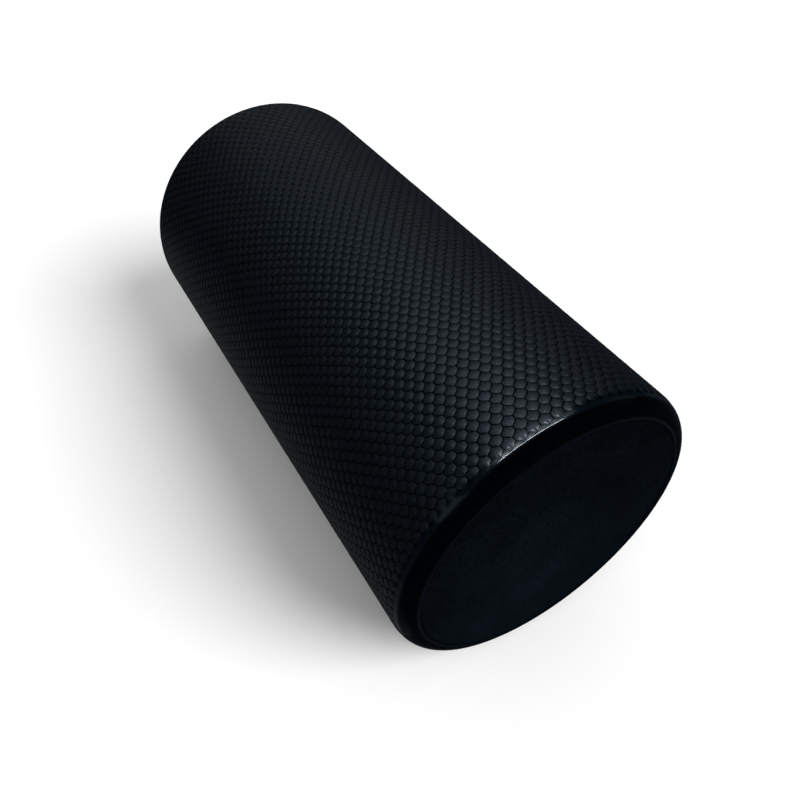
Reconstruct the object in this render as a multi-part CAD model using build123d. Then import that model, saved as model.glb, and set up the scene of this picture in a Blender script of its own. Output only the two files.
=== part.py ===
from build123d import *
import os

# A foam roller lying on its side: a core of bonded foam slabs, an embossed skin that wraps it and turns
# over both ends, and a foam disc set in each end. Millimetres. +X runs along the roller's axis, +Z is up,
# and the origin is on the floor under the middle of the roller.

LENGTH = 300.0
DIAMETER = 150.0
SHOULDER_LENGTH = 10.0  # how far each rounded shoulder runs along the axis
SHOULDER_DEPTH = 8.0  # how far it comes in towards the axis
SKIN_THICKNESS = 3.0
RIM_WIDTH = 1.2  # the flat edge of the skin that shows round each end disc
DISC_THICKNESS = 4.0
DISC_RECESS = 0.4  # how far each disc sits inside the rim
SHEET_THICKNESS = 50.0  # the foam sheet that the middle slab is cut from

RADIUS = DIAMETER / 2
HALF_LENGTH = LENGTH / 2
SHOULDER_START = HALF_LENGTH - SHOULDER_LENGTH
RIM_RADIUS = RADIUS - SHOULDER_DEPTH
DISC_RADIUS = RIM_RADIUS - RIM_WIDTH
CORE_RADIUS = RADIUS - SKIN_THICKNESS
CORE_HALF_LENGTH = HALF_LENGTH - DISC_RECESS - DISC_THICKNESS


def lying(solid):
    """The solid, made about the X axis, raised so that the roller rests on the floor."""
    return Pos(0, 0, RADIUS) * solid


def barrel(radius, half_length, end_radius):
    """A closed cylinder along X whose ends turn in over a quarter ellipse to a flat end of end_radius."""
    shoulder = EllipticalCenterArc(
        (SHOULDER_START, end_radius),
        half_length - SHOULDER_START,
        radius - end_radius,
        start_angle=0,
        arc_size=90,
    )
    side = Line((0, radius), (SHOULDER_START, radius))
    end = Line((half_length, end_radius), (half_length, 0))
    right_half = Curve() + [side, shoulder, end]
    outline = right_half + mirror(right_half, about=Plane.YZ)
    axis_line = Line((-half_length, 0), (half_length, 0))
    return revolve(make_face(outline + axis_line), axis=Axis.X)


def disc(side):
    """The foam disc set in the end that lies towards side, +1 or -1 along X."""
    centre = side * (CORE_HALF_LENGTH + DISC_THICKNESS / 2)
    return Pos(centre, 0, 0) * Rot(0, 90, 0) * Cylinder(DISC_RADIUS, DISC_THICKNESS)


def make_skin():
    """The skin: everything between the roller's outer surface and its core, open at each end."""
    bore = Rot(0, 90, 0) * Cylinder(DISC_RADIUS, LENGTH)
    return barrel(RADIUS, HALF_LENGTH, RIM_RADIUS) - barrel(CORE_RADIUS, CORE_HALF_LENGTH, DISC_RADIUS) - bore


def make_core():
    """The core's three slabs, cut apart at the two flat glue lines."""
    core = barrel(CORE_RADIUS, CORE_HALF_LENGTH, DISC_RADIUS)
    lower, upper = (Plane.XY.offset(z) for z in (-SHEET_THICKNESS / 2, SHEET_THICKNESS / 2))
    above = split(core, bisect_by=lower, keep=Keep.TOP)
    return {
        "core_slab_bottom": split(core, bisect_by=lower, keep=Keep.BOTTOM),
        "core_slab_middle": split(above, bisect_by=upper, keep=Keep.BOTTOM),
        "core_slab_top": split(above, bisect_by=upper, keep=Keep.TOP),
    }


nodes = {
    "embossed_skin": make_skin(),
    "end_disc_left": disc(-1),
    "end_disc_right": disc(1),
    **make_core(),
}

os.makedirs("parts", exist_ok=True)
for name, solid in nodes.items():
    export_step(lying(solid), f"parts/{name}.step")
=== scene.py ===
import math

import bmesh
import bpy
import numpy as np
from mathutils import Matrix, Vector, noise


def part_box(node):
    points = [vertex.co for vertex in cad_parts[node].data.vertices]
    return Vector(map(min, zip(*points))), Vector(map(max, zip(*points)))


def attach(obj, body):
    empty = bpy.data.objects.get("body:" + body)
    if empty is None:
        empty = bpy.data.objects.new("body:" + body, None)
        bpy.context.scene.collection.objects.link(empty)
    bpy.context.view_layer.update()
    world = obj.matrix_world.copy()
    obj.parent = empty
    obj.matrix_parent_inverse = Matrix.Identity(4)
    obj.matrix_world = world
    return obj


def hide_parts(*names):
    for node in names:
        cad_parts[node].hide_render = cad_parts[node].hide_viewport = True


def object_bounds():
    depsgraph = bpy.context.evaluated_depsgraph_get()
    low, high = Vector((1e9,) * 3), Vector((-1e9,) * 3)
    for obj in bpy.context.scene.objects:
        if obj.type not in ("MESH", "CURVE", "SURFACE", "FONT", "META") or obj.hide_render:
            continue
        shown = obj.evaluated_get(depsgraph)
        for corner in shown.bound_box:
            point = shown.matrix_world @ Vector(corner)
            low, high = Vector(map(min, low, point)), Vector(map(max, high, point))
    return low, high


# A foam roller that lies on a pale studio floor. Metres; X runs along its axis, and Z is up.
# Its embossed skin, end discs and core slabs are made here, each in the place of its CAD solid.

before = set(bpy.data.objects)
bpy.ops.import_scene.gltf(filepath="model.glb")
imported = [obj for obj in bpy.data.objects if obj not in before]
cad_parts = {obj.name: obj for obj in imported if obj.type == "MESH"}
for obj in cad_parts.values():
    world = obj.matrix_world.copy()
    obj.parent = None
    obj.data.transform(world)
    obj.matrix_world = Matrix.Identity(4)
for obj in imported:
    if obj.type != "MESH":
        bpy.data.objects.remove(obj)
cad_low, cad_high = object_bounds()
MM = 0.001

# ---------------------------------------------------------------- sizes, from the frame
skin_low, skin_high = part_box("embossed_skin")
disc_low, disc_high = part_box("end_disc_right")
RADIUS = (skin_high.z - skin_low.z) / 2
HALF_LENGTH = (skin_high.x - skin_low.x) / 2
DISC_RADIUS = (disc_high.z - disc_low.z) / 2
DISC_FACE = disc_high.x
DISC_BACK = disc_low.x
AXIS_HEIGHT = (skin_high.z + skin_low.z) / 2

# The rounded shoulder is a quarter of an ellipse, and a thin rim closes the skin round each disc.
SHOULDER_LENGTH = 10 * MM
SHOULDER_DEPTH = 8 * MM
SKIN_THICKNESS = 3 * MM
SHOULDER_START = HALF_LENGTH - SHOULDER_LENGTH
RIM_RADIUS = RADIUS - SHOULDER_DEPTH
CORE_RADIUS = RADIUS - SKIN_THICKNESS

# ---------------------------------------------------------------- the embossed pattern
COLUMNS = 87  # cells around the roller
ROWS = 79  # rows of cells along it; every other row is half a cell round
ROW_PITCH = 3.62 * MM
SIDE = 0.88 * MM  # half the length of a cell's two short sides, which lie along the roller
TIP = ROW_PITCH - SIDE  # from a cell's centre to its tips
GROOVE_DEPTH = 0.40 * MM
EDGE_DROP = 0.05 * MM  # how far the edge of a cell's top is below its crown
# The edge of a cell's top, as shares of the way out from its centre to the grooves.
CORNER_INSET = 0.81  # to the groove's corner at each tip
MIDDLE_INSET = 0.85  # to the middle of each slanting groove
SIDE_INSET = 0.85  # to the ends of each short side
EDGE_PAINTED_SHADE = 0.12  # painted shade: how much darker the top's edge is than its crown
HEIGHT_SPREAD = 0.08  # how much lower some cells are, as a share of the grooves' depth
SIZE_SPREAD = 0.015

# The pattern fades out at the start of each shoulder, where the foam is smooth and polished.
FADE_START = SHOULDER_START + 1.5 * MM
FADE_END = SHOULDER_START + 4.2 * MM
POLISH_LENGTH = 2 * MM  # how soon after FADE_START the foam is at its smoothest
SHOULDER_SHADE_START = SHOULDER_START + 6.2 * MM  # the shoulder keeps the skin's tone and gloss as far as here, and beyond is painted near black with little gloss: painted shade over the smooth skin's own darker tone
SHOULDER_SHADE_FADE = 1.0 * MM

# Rings along the surfaces that are turned about the roller's axis.
SHOULDER_RINGS = 12
BORE_RINGS = 5
SLAB_RINGS = 7
RIM_PAINTED_LIGHT = 0.7  # painted highlight: the rim is painted nearly as light as the tops of the cells
CLEARANCE = 0.02 * MM  # how far the skin's inner walls are from those of its CAD solid


def on_skin(along, around, lift=0.0):
    """Points on the roller's outline. along is the distance from its middle, roughly as measured over the
    surface, around is the angle from the top towards +Y, and lift raises the point off the surface."""
    turn = np.clip((np.abs(along) - SHOULDER_START) / SHOULDER_LENGTH, 0, math.pi / 2)
    normal_x = np.sin(turn) / SHOULDER_LENGTH
    normal_r = np.cos(turn) / SHOULDER_DEPTH
    size = np.hypot(normal_x, normal_r)
    x = np.minimum(np.abs(along), SHOULDER_START) + SHOULDER_LENGTH * np.sin(turn) + lift * normal_x / size
    r = RIM_RADIUS + SHOULDER_DEPTH * np.cos(turn) + lift * normal_r / size
    return in_place(np.sign(along) * x, r, around)


def in_place(x, r, around):
    """Points from their place along the axis, their radius and their angle about it."""
    x, r, around = np.broadcast_arrays(x, r, around)
    return np.stack([x, r * np.sin(around), AXIS_HEIGHT + r * np.cos(around)], axis=-1)


class MeshMaker:
    """Collects points and the faces between them. Each point has a relief value, from 0 in a groove to 1 on
    top, which also paints shade and light into the skin's colour, and a polish, from 0 on the embossed cells
    to 1 on the smooth shoulders."""

    def __init__(self):
        self.points, self.relief, self.polish, self.faces = [], [], [], []
        self.count = 0

    def add(self, points, relief, polish=0.0):
        """Adds a grid of points and returns their numbers in the same grid."""
        shape = points.shape[:-1]
        self.points.append(points.reshape(-1, 3))
        self.relief.append(np.broadcast_to(relief, shape).reshape(-1))
        self.polish.append(np.broadcast_to(polish, shape).reshape(-1))
        numbers = np.arange(self.count, self.count + int(np.prod(shape))).reshape(shape)
        self.count += numbers.size
        return numbers

    def face(self, *corners):
        """Adds one face for each place in the grids of corner numbers."""
        self.faces.append(np.stack([c.reshape(-1) for c in np.broadcast_arrays(*corners)], axis=-1))

    def band(self, first, second, outward):
        """Closes the gap between two rings of equal count with quads."""
        a, b = (first, second) if outward else (second, first)
        self.face(a, b, np.roll(b, -1), np.roll(a, -1))

    def fan(self, point, ring, outward):
        """Closes a ring with triangles to one point."""
        a, b = (ring, np.roll(ring, -1)) if outward else (np.roll(ring, -1), ring)
        self.face(np.repeat(point, ring.size), a, b)

    def build(self, name):
        """Makes the mesh, with relief (which carries the skin's painted shade and light) and polish as
        attributes, and its object.
        """
        mesh = bpy.data.meshes.new(name)
        points = np.concatenate(self.points)
        faces = [f for grid in self.faces for f in grid.tolist()]
        mesh.from_pydata(points.tolist(), [], faces)
        for attribute, values in (("relief", self.relief), ("polish", self.polish)):
            layer = mesh.attributes.new(attribute, "FLOAT", "POINT")
            layer.data.foreach_set("value", np.concatenate(values).astype(np.float32))
        mesh.shade_smooth()
        mesh.validate()
        piece = bpy.data.objects.new(name, mesh)
        bpy.context.scene.collection.objects.link(piece)
        return piece


def embossed_cells(maker):
    """The staggered cells. Each is a low crowned top inside six groove corners, which it shares with its
    neighbours. Returns the ring of groove corners at each end of the pattern."""
    chance = np.random.default_rng(5)
    half_pitch = math.pi / COLUMNS
    rows = np.arange(-1, ROWS + 1)
    row_along = (rows - (ROWS - 1) / 2) * ROW_PITCH
    stagger = rows % 2
    around = (2 * np.arange(COLUMNS)[None, :] + stagger[:, None]) * half_pitch

    def fade(along):
        share = np.clip((FADE_END - np.abs(along)) / (FADE_END - FADE_START), 0, 1)
        return share * share * (3 - 2 * share)

    def polish(along):
        return np.clip((np.abs(along) - FADE_START) / POLISH_LENGTH, 0, 1)

    def groove(along):
        along = np.broadcast_to(along[:, None], around.shape)
        place = on_skin(along, around, -GROOVE_DEPTH * fade(along))
        # A groove's bottom gets 0, which paints it dark: painted shade in the grooves.
        return maker.add(place, 1 - fade(along), polish(along))

    low, high = groove(row_along - TIP), groove(row_along + TIP)

    cell = slice(1, ROWS + 1)
    own = np.arange(COLUMNS)[None, :]
    right = (own + stagger[cell, None]) % COLUMNS
    left = (right - 1) % COLUMNS
    here = np.arange(1, ROWS + 1)[:, None]
    corners = [
        low[here, own],
        high[here - 1, right],
        low[here + 1, right],
        high[here, own],
        low[here + 1, left],
        high[here - 1, left],
    ]

    centre_along = row_along[cell, None] + np.zeros((1, COLUMNS))
    centre_around = around[cell]
    faded = fade(centre_along)
    drop = GROOVE_DEPTH * HEIGHT_SPREAD * chance.uniform(0, 1, centre_along.shape)
    grow = chance.normal(1, SIZE_SPREAD, centre_along.shape)

    def edge(across, up):
        """A point of the top's edge, across the cell in half pitches and up it along the roller."""
        along = centre_along + up * grow
        place = on_skin(along, centre_around + across * half_pitch * grow, -(EDGE_DROP + drop) * faded)
        # The top's edge is painted a little darker than its crown: painted shade.
        return maker.add(place, 1 - EDGE_PAINTED_SHADE * faded, polish(along))

    middle_up = (TIP + SIDE) / 2 * MIDDLE_INSET
    tip_up = TIP * CORNER_INSET
    side_up = SIDE * SIDE_INSET
    middle_across = 0.5 * MIDDLE_INSET
    side_across = SIDE_INSET
    tops = [
        edge(0, -tip_up),
        edge(middle_across, -middle_up),
        edge(side_across, -side_up),
        edge(side_across, side_up),
        edge(middle_across, middle_up),
        edge(0, tip_up),
        edge(-middle_across, middle_up),
        edge(-side_across, side_up),
        edge(-side_across, -side_up),
        edge(-middle_across, -middle_up),
    ]
    crown = maker.add(on_skin(centre_along, centre_around, -drop * faded), 1.0, polish(centre_along))

    def sloping(tip, side, top_tip, top_middle, top_side):
        maker.face(tip, top_tip, top_middle)
        maker.face(tip, top_middle, side)
        maker.face(side, top_middle, top_side)

    def flipped(tip, side, top_tip, top_middle, top_side):
        maker.face(tip, top_middle, top_tip)
        maker.face(tip, side, top_middle)
        maker.face(side, top_side, top_middle)

    sloping(corners[0], corners[1], tops[0], tops[1], tops[2])
    flipped(corners[3], corners[2], tops[5], tops[4], tops[3])
    sloping(corners[3], corners[4], tops[5], tops[6], tops[7])
    flipped(corners[0], corners[5], tops[0], tops[9], tops[8])
    maker.face(corners[1], tops[2], tops[3], corners[2])
    maker.face(corners[4], tops[7], tops[8], corners[5])
    for k in range(len(tops)):
        maker.face(crown, tops[(k + 1) % len(tops)], tops[k])

    # The pattern's two ends are zigzags of 2 x COLUMNS corners, in order of angle.
    last = ROWS
    end_right = np.empty(2 * COLUMNS, int)
    end_right[stagger[last] :: 2] = high[last]
    end_right[(1 - stagger[last]) :: 2] = low[last + 1]
    end_left = np.empty(2 * COLUMNS, int)
    end_left[stagger[1] :: 2] = low[1]
    end_left[(1 - stagger[1]) :: 2] = high[0]
    return end_left, end_right


def skin_end(maker, edge_ring, side):
    """The smooth shoulder, the thin raised rim and the wall behind it. Returns its innermost ring."""
    around = np.arange(2 * COLUMNS) * math.pi / COLUMNS
    outward = side < 0
    ring = edge_ring
    last = SHOULDER_START + SHOULDER_LENGTH * math.pi / 2
    for along in np.linspace(FADE_END + 0.3 * MM, last - 0.8 * MM, SHOULDER_RINGS):
        # Past the lit band the shoulder is painted near black: painted shade over the smooth skin's own
        # darker tone.
        lit_band_share = min(1.0, max(0.0, (SHOULDER_SHADE_START - along) / SHOULDER_SHADE_FADE))
        following = maker.add(on_skin(side * along, around), lit_band_share, 1.0)
        maker.band(ring, following, outward)
        ring = following
    rim = [
        (HALF_LENGTH - 0.22 * MM, RIM_RADIUS + 0.35 * MM),
        (HALF_LENGTH - 0.20 * MM, RIM_RADIUS + 0.05 * MM),
        (HALF_LENGTH - 0.02 * MM, RIM_RADIUS - 0.18 * MM),
        (HALF_LENGTH, RIM_RADIUS - 0.45 * MM),
        (HALF_LENGTH - 0.05 * MM, RIM_RADIUS - 0.78 * MM),
        (HALF_LENGTH - 0.24 * MM, RIM_RADIUS - 1.04 * MM),
        (HALF_LENGTH - 0.80 * MM, DISC_RADIUS + CLEARANCE),
        (DISC_BACK, DISC_RADIUS + CLEARANCE),
    ]
    # The rim is painted lighter than the shoulder round it: a painted highlight on its raised edge.
    for x, r in rim:
        following = maker.add(in_place(side * x, r, around), RIM_PAINTED_LIGHT, 1.0)
        maker.band(ring, following, outward)
        ring = following
    return ring


def core_outline(steps):
    """Half of the core's outline, from the middle to the disc's back: (place along the axis, radius)."""
    turns = np.linspace(0, math.pi / 2, steps)
    x = SHOULDER_START + (DISC_BACK - SHOULDER_START) * np.sin(turns)
    r = DISC_RADIUS + (CORE_RADIUS - DISC_RADIUS) * np.cos(turns)
    return list(zip(x.tolist(), r.tolist()))


def make_skin():
    """The skin: embossed outside, rounded over both ends, and closed by its bore on the core."""
    maker = MeshMaker()
    end_left, end_right = embossed_cells(maker)
    around = np.arange(2 * COLUMNS) * math.pi / COLUMNS
    bore_left = skin_end(maker, end_left, -1)
    bore_right = skin_end(maker, end_right, 1)
    half = core_outline(BORE_RINGS)[:-1]
    bore = [(-x, r) for x, r in reversed(half)] + half
    ring = bore_left
    for x, r in bore:
        following = maker.add(in_place(x, r - CLEARANCE, around), 0.5)
        maker.band(ring, following, True)
        ring = following
    maker.band(ring, bore_right, True)
    return maker.build("embossed_skin_foam")


def sharpen_grooves(piece, angle):
    """Marks the grooves' bottoms as sharp where they are steeper than the angle, so that the tops are shaded
    as nearly flat and the grooves as cut."""
    bm = bmesh.new()
    bm.from_mesh(piece.data)
    bmesh.ops.recalc_face_normals(bm, faces=bm.faces)
    for e in bm.edges:
        e.smooth = e.is_convex or not e.is_manifold or e.calc_face_angle(0) < angle
    bm.to_mesh(piece.data)
    bm.free()
    flatten = piece.modifiers.new("flat tops", "WEIGHTED_NORMAL")
    flatten.weight = 50
    flatten.keep_sharp = True


def make_disc(name, side):
    """A foam disc: a face with a soft edge, very slightly uneven, and a flat back."""
    maker = MeshMaker()
    segments = 160
    around = np.arange(segments) * 2 * math.pi / segments
    # Rings of equal area, so that the faces are of about one size from the middle to the edge.
    radii = DISC_RADIUS * np.sqrt(np.linspace(0.0006, 1, 46))[:-1]
    outward = side > 0
    seed_shift = 3.7 * MM * side  # gives the two discs different noise
    edge_width = 0.8 * MM

    def face_height(r, angle):
        """How far the face is from the roller's middle: a broad swell, a fine one and a fall at the edge."""
        place = Vector((r * math.cos(angle), r * math.sin(angle), seed_shift))
        broad = noise.noise(place * 45) * 0.10 * MM
        fine = noise.noise(place * 330) * 0.022 * MM
        fall = 0.14 * MM * max(0, (r - DISC_RADIUS + edge_width) / edge_width) ** 2
        return DISC_FACE + 0.10 * MM + broad * (1 - (r / DISC_RADIUS) ** 6) + fine - fall

    ring = None
    for r in [*radii, DISC_RADIUS - 0.12 * MM]:
        x = np.array([face_height(r, a) for a in around])
        following = maker.add(in_place(side * x, r, around), 1.0)
        if ring is None:
            middle = maker.add(in_place([side * face_height(0, 0)], 0, 0), 1.0)
            maker.fan(middle, following, not outward)
        else:
            maker.band(following, ring, outward)
        ring = following
    for x, r in ((DISC_FACE - 0.7 * MM, DISC_RADIUS), (DISC_BACK, DISC_RADIUS)):
        following = maker.add(in_place(side * x, r, around), 1.0)
        maker.band(following, ring, outward)
        ring = following
    back = maker.add(in_place([side * DISC_BACK], 0, 0), 1.0)
    maker.fan(back, ring, outward)
    return maker.build(name)


def make_core_slab(node):
    """One slab: the core, just clear of the skin, between its flat cuts, with slightly softened edges."""
    low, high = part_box(node)
    maker = MeshMaker()
    segments = 96
    around = np.arange(segments) * 2 * math.pi / segments
    half = core_outline(SLAB_RINGS)
    outline = [(-x, r) for x, r in reversed(half)] + half
    rings = [maker.add(in_place(x, r - 0.1 * MM, around), 1.0) for x, r in outline]
    for a, b in zip(rings, rings[1:]):
        maker.band(b, a, True)
    maker.faces.append(rings[0][None, :])
    maker.faces.append(rings[-1][::-1][None, :])
    piece = maker.build(node + "_foam")
    bm = bmesh.new()
    bm.from_mesh(piece.data)
    glue = 0.05 * MM
    margin = 2 * SKIN_THICKNESS
    for height, direction in ((low.z + glue, -1), (high.z - glue, 1)):
        # The bottom slab's low side and the top slab's high side are round, and have no cut.
        if not skin_low.z + margin < height < skin_high.z - margin:
            continue
        cut = bmesh.ops.bisect_plane(
            bm,
            geom=bm.verts[:] + bm.edges[:] + bm.faces[:],
            plane_co=(0, 0, height),
            plane_no=(0, 0, direction),
            clear_outer=True,
        )
        edges = [e for e in cut["geom_cut"] if isinstance(e, bmesh.types.BMEdge)]
        bmesh.ops.holes_fill(bm, edges=edges)
    bmesh.ops.recalc_face_normals(bm, faces=bm.faces)
    bm.to_mesh(piece.data)
    bm.free()
    soften = piece.modifiers.new("soft edges", "BEVEL")
    soften.width = 0.6 * MM
    soften.segments = 2
    soften.limit_method = "ANGLE"
    soften.angle_limit = math.radians(40)
    return piece


# ---------------------------------------------------------------- materials
class Nodes:
    """A material's node tree, with short calls for the nodes that the foams use."""

    def __init__(self, name):
        self.material = bpy.data.materials.new(name)
        self.material.use_nodes = True
        self.tree = self.material.node_tree
        self.shader = self.tree.nodes["Principled BSDF"]
        self.place = self.tree.nodes.new("ShaderNodeTexCoord").outputs["Object"]

    def link(self, source, target):
        self.tree.links.new(source, target)

    def noise(self, size, detail=2.0, roughness=0.5):
        """Noise whose features are about size metres across."""
        node = self.tree.nodes.new("ShaderNodeTexNoise")
        node.inputs["Scale"].default_value = 1 / size
        node.inputs["Detail"].default_value = detail
        node.inputs["Roughness"].default_value = roughness
        self.link(self.place, node.inputs["Vector"])
        return node.outputs["Fac"]

    def cells(self, size):
        """Small round pits about size metres apart: 0 in the middle of each."""
        node = self.tree.nodes.new("ShaderNodeTexVoronoi")
        node.feature = "SMOOTH_F1"
        node.inputs["Scale"].default_value = 1 / size
        self.link(self.place, node.inputs["Vector"])
        return node.outputs["Distance"]

    def attribute(self, name):
        node = self.tree.nodes.new("ShaderNodeAttribute")
        node.attribute_name = name
        return node.outputs["Fac"]

    def ramp(self, value, low, high, to_low, to_high):
        """value from low to high, mapped to a number from to_low to to_high."""
        node = self.tree.nodes.new("ShaderNodeMapRange")
        for socket, number in zip(("From Min", "From Max", "To Min", "To Max"), (low, high, to_low, to_high)):
            node.inputs[socket].default_value = number
        self.link(value, node.inputs["Value"])
        return node.outputs["Result"]

    def times(self, first, second):
        node = self.tree.nodes.new("ShaderNodeMath")
        node.operation = "MULTIPLY"
        self.link(first, node.inputs[0])
        self.link(second, node.inputs[1])
        return node.outputs[0]

    def mix(self, share, dark, light):
        """A colour from dark to light."""
        node = self.tree.nodes.new("ShaderNodeMix")
        node.data_type = "RGBA"
        node.inputs["A"].default_value = (*dark, 1)
        node.inputs["B"].default_value = (*light, 1)
        self.link(share, node.inputs["Factor"])
        return node.outputs["Result"]

    def bump(self, height, distance, strength, below=None):
        """A bump of the height, on top of the one below. strength is a number or a node's output."""
        node = self.tree.nodes.new("ShaderNodeBump")
        node.inputs["Distance"].default_value = distance
        if isinstance(strength, float):
            node.inputs["Strength"].default_value = strength
        else:
            self.link(strength, node.inputs["Strength"])
        self.link(height, node.inputs["Height"])
        if below is not None:
            self.link(below, node.inputs["Normal"])
        return node.outputs["Normal"]


def skin_material():
    """Dense embossed EVA: blue-black, half-glossy on the tops, with a fine pressed grain that is almost gone
    where the foam is polished.
    Painted shade darkens and dulls the grooves, the tops' edges and the shoulders past their lit band; the
    rim has a painted highlight."""
    m = Nodes("skin_eva")
    polish = m.attribute("polish")
    relief = m.ramp(m.attribute("relief"), 0.3, 1, 0, 1)
    mottle = m.ramp(m.noise(9 * MM, 3), 0.3, 0.7, 0.75, 1.0)
    # Colour: the relief paints shade into the grooves, the tops' edges and the shoulders, and a highlight on
    # the rim; mottle is the foam's random tone.
    colour = m.mix(m.times(relief, mottle), (0.0002, 0.0004, 0.0007), (0.0015, 0.0032, 0.0051))
    m.link(colour, m.shader.inputs["Base Color"])
    smear = m.ramp(m.noise(4 * MM, 4, 0.65), 0.3, 0.7, 0.34, 0.44)
    polished = m.ramp(polish, 0, 1, 1.0, 0.30)
    m.link(m.times(smear, polished), m.shader.inputs["Roughness"])
    m.shader.inputs["IOR"].default_value = 1.28
    m.link(m.ramp(relief, 0, 1, 0.06, 0.52), m.shader.inputs["Specular IOR Level"])
    m.shader.inputs["Specular Tint"].default_value = (0.58, 0.80, 1.0, 1)
    grain = m.bump(m.noise(0.22 * MM, 2), 0.012 * MM, m.ramp(polish, 0, 1, 0.6, 0.08))
    uneven = m.bump(m.noise(1.1 * MM, 2), 0.02 * MM, m.ramp(polish, 0, 1, 0.5, 0.35), grain)
    m.link(uneven, m.shader.inputs["Normal"])
    return m.material


def disc_material():
    """Cut closed-cell EVA: matt blue-black with fine pores and a faint cloudy mottle."""
    m = Nodes("disc_eva")
    cloud = m.ramp(m.noise(26 * MM, 3, 0.5), 0.3, 0.7, 0.35, 1.0)
    grain = m.ramp(m.noise(1.8 * MM, 5, 0.75), 0.38, 0.62, 0.1, 1.0)
    colour = m.mix(m.times(cloud, grain), (0.0006, 0.0011, 0.0018), (0.0020, 0.0043, 0.0064))
    m.link(colour, m.shader.inputs["Base Color"])
    m.shader.inputs["Roughness"].default_value = 0.85
    m.shader.inputs["IOR"].default_value = 1.20
    m.shader.inputs["Specular IOR Level"].default_value = 0.10
    m.shader.inputs["Specular Tint"].default_value = (0.66, 0.83, 1.0, 1)
    pores = m.bump(m.cells(0.55 * MM), 0.06 * MM, 0.6)
    m.link(m.bump(m.noise(0.3 * MM, 2), 0.02 * MM, 0.5, pores), m.shader.inputs["Normal"])
    return m.material


def core_material():
    """The core's cut foam: a little paler and more open than the discs."""
    m = Nodes("core_eva")
    grain = m.ramp(m.noise(1.2 * MM, 3, 0.7), 0.3, 0.7, 0.0, 1.0)
    colour = m.mix(grain, (0.006, 0.007, 0.009), (0.016, 0.018, 0.021))
    m.link(colour, m.shader.inputs["Base Color"])
    m.shader.inputs["Roughness"].default_value = 0.9
    m.shader.inputs["Specular IOR Level"].default_value = 0.12
    m.link(m.bump(m.cells(0.9 * MM), 0.12 * MM, 0.7), m.shader.inputs["Normal"])
    return m.material


def floor_material():
    """A pale matt floor. Glossy rays see it dark, so that the roller doesn't mirror it."""
    m = Nodes("pale_floor")
    glossy = m.tree.nodes.new("ShaderNodeLightPath").outputs["Is Glossy Ray"]
    m.link(m.mix(glossy, (0.91, 0.91, 0.91), (0.030, 0.036, 0.045)), m.shader.inputs["Base Color"])
    m.shader.inputs["Roughness"].default_value = 0.9
    m.shader.inputs["Specular IOR Level"].default_value = 0.0
    return m.material


# ---------------------------------------------------------------- the studio
def make_floor(size=14.0):
    mesh = bpy.data.meshes.new("studio_floor")
    corners = [(-size, -size, 0), (size, -size, 0), (size, size, 0), (-size, size, 0)]
    mesh.from_pydata(corners, [], [(0, 1, 2, 3)])
    floor = bpy.data.objects.new("studio_floor", mesh)
    floor.location.z = cad_low.z
    bpy.context.scene.collection.objects.link(floor)
    mesh.materials.append(floor_material())


def towards(azimuth, elevation):
    """The unit vector at an azimuth, where 0 is -Y and 90 is +X, and an elevation, both in degrees."""
    a, e = math.radians(azimuth), math.radians(elevation)
    return Vector((math.sin(a) * math.cos(e), -math.cos(a) * math.cos(e), math.sin(e)))


def add_light(name, kind, azimuth, elevation, distance, aim, energy):
    """A light that looks at aim from a distance in the given direction."""
    data = bpy.data.lights.new(name, kind)
    data.energy = energy
    lamp = bpy.data.objects.new(name, data)
    back = towards(azimuth, elevation)
    lamp.location = aim + back * distance
    lamp.rotation_euler = (-back).to_track_quat("-Z", "Y").to_euler()
    bpy.context.scene.collection.objects.link(lamp)
    return lamp


def diffuse_only(lamp):
    """Hides a lamp from glossy rays, so that nothing mirrors it."""
    lamp.visible_glossy = False


def gloss_only(lamp):
    """Makes a lamp a reflection only: it gives no diffuse light and the camera doesn't see it."""
    lamp.visible_diffuse = False
    lamp.visible_camera = False


def link_light(lamp, pieces, state):
    """Lets a lamp light only these pieces (INCLUDE), or everything but these (EXCLUDE)."""
    receivers = bpy.data.collections.new(lamp.name + "_receivers")
    for piece in pieces:
        receivers.objects.link(piece)
    for entry in receivers.collection_objects:
        entry.light_linking.link_state = state
    lamp.light_linking.receiver_collection = receivers


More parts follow.
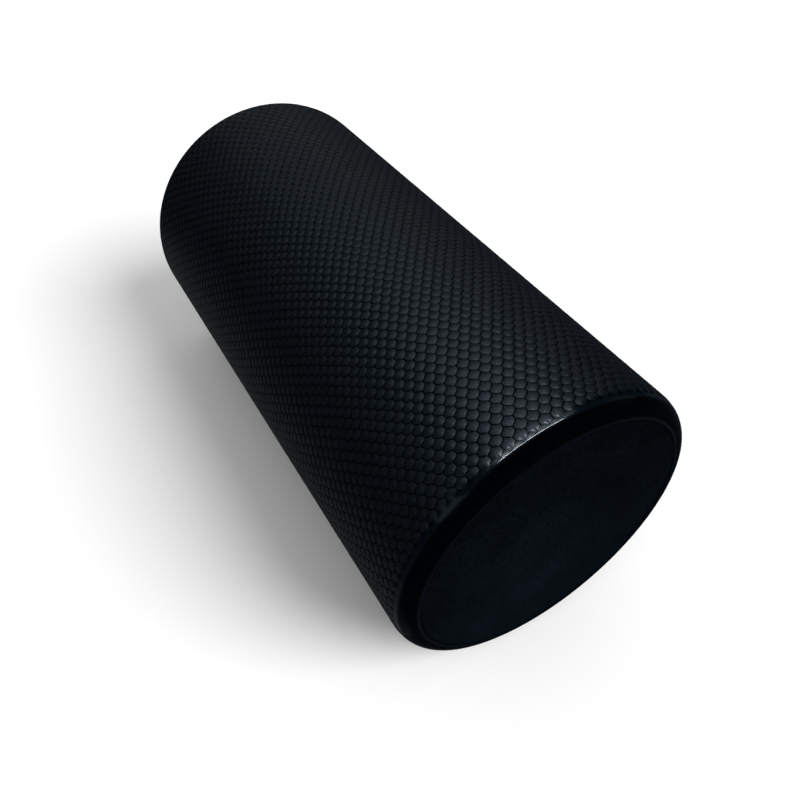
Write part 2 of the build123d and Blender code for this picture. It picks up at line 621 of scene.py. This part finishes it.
def make_lights(skin, discs):
    """A broad soft key from the right, which gives the floor its shadow; fills that light only the skin or
    the discs; and dim cards that only glossy rays see."""
    middle = (cad_low + cad_high) / 2
    key = add_light("key", "SUN", 121, 39, 2.0, middle, 3.2)
    key.data.angle = math.radians(37)
    diffuse_only(key)
    link_light(key, discs, "EXCLUDE")

    foot = Vector((DISC_FACE, -10 * MM, 20 * MM))
    left_end = Vector((-DISC_FACE, 0, AXIS_HEIGHT))
    # Each fill's name, aim, azimuth, elevation, distance, size, energy and what it lights.
    fills = [
        ("right_disc_fill", foot, 90, 6, 0.09, 0.08, 0.17, discs),
        ("left_disc_fill", left_end, 262, 25, 0.6, 0.30, 2.0, discs),
        ("front_fill", middle, 330, 12, 1.0, 0.60, 1.7, [skin]),
        ("rear_fill", middle, 200, 25, 1.0, 0.60, 1.5, [skin]),
    ]
    for name, aim, azimuth, elevation, distance, size, energy, receivers in fills:
        fill = add_light(name, "AREA", azimuth, elevation, distance, aim, energy)
        fill.data.size = size
        fill.visible_camera = False
        diffuse_only(fill)
        link_light(fill, receivers, "INCLUDE")

    card_distance = 0.9
    shoulder = Vector((SHOULDER_START, 0, AXIS_HEIGHT + RADIUS))
    # The low card lies 3 mm above the floor, on the shadow's side, and faces up.
    above_low_card = Vector((-80 * MM, -140 * MM, card_distance + 3 * MM))
    # Each card's name, aim, azimuth, elevation, size and energy.
    cards = [
        ("high_card", middle, 268, 77, (1.10, 0.70), 4.9),
        ("back_card", middle, 238, 25, (1.30, 0.40), 0.50),
        ("tube_card", shoulder, 90, 87.5, (0.80, 0.025), 12.0),
        ("low_card", above_low_card, 0, -89.9, (0.50, 0.13), 0.017),
        ("left_card", middle, 318, 28, (0.70, 0.30), 0.16),
        ("front_card", middle, 20, 28, (0.80, 0.30), 0.60),
        ("rear_card", middle, 148, 24, (0.80, 0.30), 0.12),
    ]
    for name, aim, azimuth, elevation, size, energy in cards:
        card = add_light(name, "AREA", azimuth, elevation, card_distance, aim, energy)
        card.data.shape = "RECTANGLE"
        card.data.size, card.data.size_y = size
        gloss_only(card)
        if name == "tube_card":
            card.data.color = (1.0, 0.82, 0.72)  # the skin's bluish gloss turns it white


def make_world():
    """A white surround: bright to the camera, dimmer as a light, and hidden from glossy rays."""
    world = bpy.data.worlds.new("studio")
    bpy.context.scene.world = world
    world.use_nodes = True
    tree = world.node_tree
    background = tree.nodes["Background"]
    background.inputs["Color"].default_value = (1, 1, 1, 1)
    seen = tree.nodes.new("ShaderNodeLightPath").outputs["Is Camera Ray"]
    strength = tree.nodes.new("ShaderNodeMapRange")
    strength.inputs["To Min"].default_value = 0.6  # as a light
    strength.inputs["To Max"].default_value = 1.0  # to the camera
    tree.links.new(seen, strength.inputs["Value"])
    tree.links.new(strength.outputs["Result"], background.inputs["Strength"])
    world.cycles_visibility.glossy = False


def make_camera():
    """A camera above and beyond the roller's right end, looking down along it. Its lens, place and aim were
    fitted to the outline of the roller in the photo."""
    data = bpy.data.cameras.new("camera")
    data.lens = 33.0
    data.sensor_width = 36.0
    camera = bpy.data.objects.new("camera", data)
    aim = (cad_low + cad_high) / 2 + Vector((25.8, -2.0, -23.2)) * MM
    back = towards(59.45, 45.71)
    camera.location = aim + back * 0.4
    camera.rotation_euler = (-back).to_track_quat("-Z", "Y").to_euler()
    bpy.context.scene.collection.objects.link(camera)
    bpy.context.scene.camera = camera


def finish_piece(piece, node, material):
    """Gives a foam piece its material, and its place in the part's one body."""
    piece.data.materials.append(material)
    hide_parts(node)
    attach(piece, "root")


make_camera()
make_floor()

skin = make_skin()
sharpen_grooves(skin, math.radians(30))
finish_piece(skin, "embossed_skin", skin_material())
disc_look = disc_material()
discs = []
for name, side in (("end_disc_left", -1), ("end_disc_right", 1)):
    discs.append(make_disc(name + "_foam", side))
    finish_piece(discs[-1], name, disc_look)
core_look = core_material()
for name in ("core_slab_bottom", "core_slab_middle", "core_slab_top"):
    finish_piece(make_core_slab(name), name, core_look)

make_lights(skin, discs)
make_world()
bpy.context.scene.view_settings.view_transform = "Standard"
